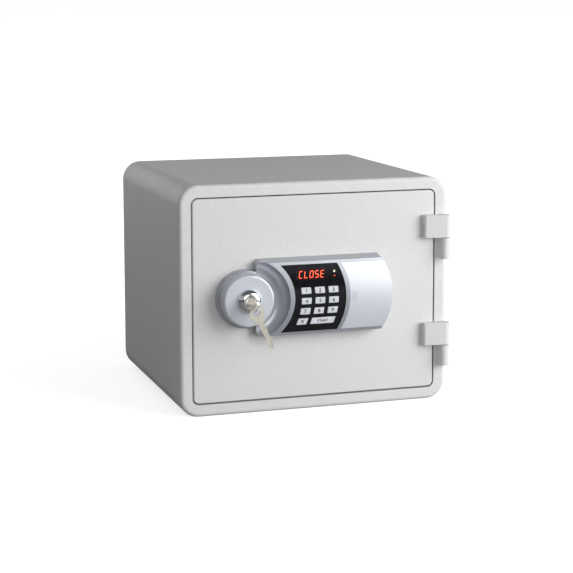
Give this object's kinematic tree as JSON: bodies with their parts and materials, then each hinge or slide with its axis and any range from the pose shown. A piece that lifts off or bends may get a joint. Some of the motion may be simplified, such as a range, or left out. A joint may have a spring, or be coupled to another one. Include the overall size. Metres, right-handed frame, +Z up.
{
  "type": "in room safe",
  "caption": "Fire resistant in room safe: insulated case, hinged door with keypad lock, turn knob with key cylinder, sliding battery cover and boltwork.",
  "frame": {"origin": "centre of the base, midway between the two floor anchor holes, at floor level", "axes": "+X towards the hinge side, +Y towards the back, +Z up; the door's face is at -Y"},
  "size_m": [0.4145, 0.427, 0.338],
  "materials": {
    "case_paint": "light grey powder coat, fine orange peel",
    "inner_paint": "smooth grey paint",
    "mineral_fill": "poured lightweight mineral fill",
    "seal_rubber": "matt heat seal",
    "plated_steel": "zinc plated sheet",
    "bright_steel": "turned and polished",
    "washer_bronze": "plain bearing bronze",
    "lock_silver": "silver lacquered moulding",
    "knob_silver": "silver lacquered moulding",
    "panel_black": "gloss black tinted panel",
    "board_green": "solder resist",
    "display_red": "digit block",
    "lamp_clear": "clear lamp body",
    "cover_silver": "silver lacquered moulding",
    "tray_black": "black moulding",
    "cell_wrap": "wrapped cell",
    "cylinder_chrome": "polished chrome",
    "plug_nickel": "nickel plated",
    "key_nickel": "nickel plated, tumbled",
    "ring_steel": "spring steel wire",
    "key_silver": "silver keys with dark digits"
  },
  "bodies": {
    "case": {"case_shell": "case_paint", "back_panel": "case_paint", "front_frame": "inner_paint", "insulation_body": "mineral_fill", "inner_liner": "inner_paint", "liner_floor": "inner_paint", "liner_roof": "inner_paint", "liner_sides": "inner_paint", "liner_back": "inner_paint", "keeper_plate": "plated_steel", "anchor_sleeves": "tray_black", "hinge_knuckle_upper": "case_paint", "hinge_knuckle_lower": "case_paint", "hinge_pin_upper": "bright_steel", "hinge_pin_lower": "bright_steel", "hinge_washers": "washer_bronze"},
    "door": {"door_skin": "case_paint", "door_insulation": "mineral_fill", "door_inner_cover": "inner_paint", "door_gasket": "seal_rubber", "hinge_leaf_upper": "case_paint", "hinge_leaf_lower": "case_paint", "fixed_bolts": "bright_steel", "bolt_frame": "plated_steel", "solenoid_body": "plated_steel", "solenoid_pin": "bright_steel", "carrier_studs": "bright_steel", "lock_housing": "lock_silver", "keypad_overlay": "panel_black", "display_module": "display_red", "status_led": "lamp_clear", "circuit_board": "board_green", "battery_tray": "tray_black", "batteries": "cell_wrap", "lock_screws": "bright_steel", "cover_screws": "bright_steel"},
    "battery_cover": {"battery_cover": "cover_silver"},
    "knob": {"turn_knob": "knob_silver", "spindle": "bright_steel", "crank": "bright_steel", "cylinder_body": "cylinder_chrome"},
    "boltwork": {"bolt_carrier": "plated_steel", "bolt_upper": "bright_steel", "bolt_lower": "bright_steel"},
    "plug": {"lock_plug": "plug_nickel"},
    "key": {"main_key": "key_nickel"},
    "ring": {"key_ring": "ring_steel"},
    "spare": {"spare_key": "key_nickel"},
    "key_0": {"key_0": "key_silver"},
    "key_1": {"key_1": "key_silver"},
    "key_2": {"key_2": "key_silver"},
    "key_3": {"key_3": "key_silver"},
    "key_4": {"key_4": "key_silver"},
    "key_5": {"key_5": "key_silver"},
    "key_6": {"key_6": "key_silver"},
    "key_7": {"key_7": "key_silver"},
    "key_8": {"key_8": "key_silver"},
    "key_9": {"key_9": "key_silver"},
    "key_start": {"key_start": "key_silver"}
  },
  "joints": [
    {"name": "door_swing", "type": "hinge", "parent": "case", "child": "door", "pos_m": [0.201, -0.1895, 0.1715], "axis": [0, 0, 1], "range_deg": [0, 150]},
    {"name": "knob_turn", "type": "hinge", "parent": "door", "child": "knob", "pos_m": [-0.11, -0.1815, 0.1715], "axis": [0, 1, 0], "range_deg": [-90, 0]},
    {"name": "bolt_throw", "type": "slide", "parent": "door", "child": "boltwork", "axis": [1, 0, 0], "range_m": [-0.01981, 0]},
    {"name": "key_turn", "type": "hinge", "parent": "knob", "child": "plug", "pos_m": [-0.11, -0.1815, 0.1715], "axis": [0, 1, 0], "range_deg": [0, 90]},
    {"name": "key_withdraw", "type": "slide", "parent": "plug", "child": "key", "axis": [0, -1, 0], "range_m": [0, 0.03]},
    {"name": "ring_swing", "type": "hinge", "parent": "key", "child": "ring", "pos_m": [-0.11, -0.2393, 0.17373], "axis": [0, 1, 0], "range_deg": [-10, 10]},
    {"name": "spare_key_swing", "type": "hinge", "parent": "ring", "child": "spare", "pos_m": [-0.11, -0.2393, 0.16253], "axis": [0, 1, 0], "range_deg": [-6, 40]},
    {"name": "battery_cover_slide", "type": "slide", "parent": "door", "child": "battery_cover", "axis": [1, 0, 0], "range_m": [0, 0.05]},
    {"name": "press_0", "type": "slide", "parent": "door", "child": "key_0", "axis": [0, 1, 0], "range_m": [0, 0.0008], "stiffness_N_per_m": 600},
    {"name": "press_1", "type": "slide", "parent": "door", "child": "key_1", "axis": [0, 1, 0], "range_m": [0, 0.0008], "stiffness_N_per_m": 600},
    {"name": "press_2", "type": "slide", "parent": "door", "child": "key_2", "axis": [0, 1, 0], "range_m": [0, 0.0008], "stiffness_N_per_m": 600},
    {"name": "press_3", "type": "slide", "parent": "door", "child": "key_3", "axis": [0, 1, 0], "range_m": [0, 0.0008], "stiffness_N_per_m": 600},
    {"name": "press_4", "type": "slide", "parent": "door", "child": "key_4", "axis": [0, 1, 0], "range_m": [0, 0.0008], "stiffness_N_per_m": 600},
    {"name": "press_5", "type": "slide", "parent": "door", "child": "key_5", "axis": [0, 1, 0], "range_m": [0, 0.0008], "stiffness_N_per_m": 600},
    {"name": "press_6", "type": "slide", "parent": "door", "child": "key_6", "axis": [0, 1, 0], "range_m": [0, 0.0008], "stiffness_N_per_m": 600},
    {"name": "press_7", "type": "slide", "parent": "door", "child": "key_7", "axis": [0, 1, 0], "range_m": [0, 0.0008], "stiffness_N_per_m": 600},
    {"name": "press_8", "type": "slide", "parent": "door", "child": "key_8", "axis": [0, 1, 0], "range_m": [0, 0.0008], "stiffness_N_per_m": 600},
    {"name": "press_9", "type": "slide", "parent": "door", "child": "key_9", "axis": [0, 1, 0], "range_m": [0, 0.0008], "stiffness_N_per_m": 600},
    {"name": "press_start", "type": "slide", "parent": "door", "child": "key_start", "axis": [0, 1, 0], "range_m": [0, 0.0008], "stiffness_N_per_m": 600}
  ],
  "couplings": [
    {"joint": "bolt_throw", "follows": "knob_turn", "m_per_rad": 0.012604}
  ]
}
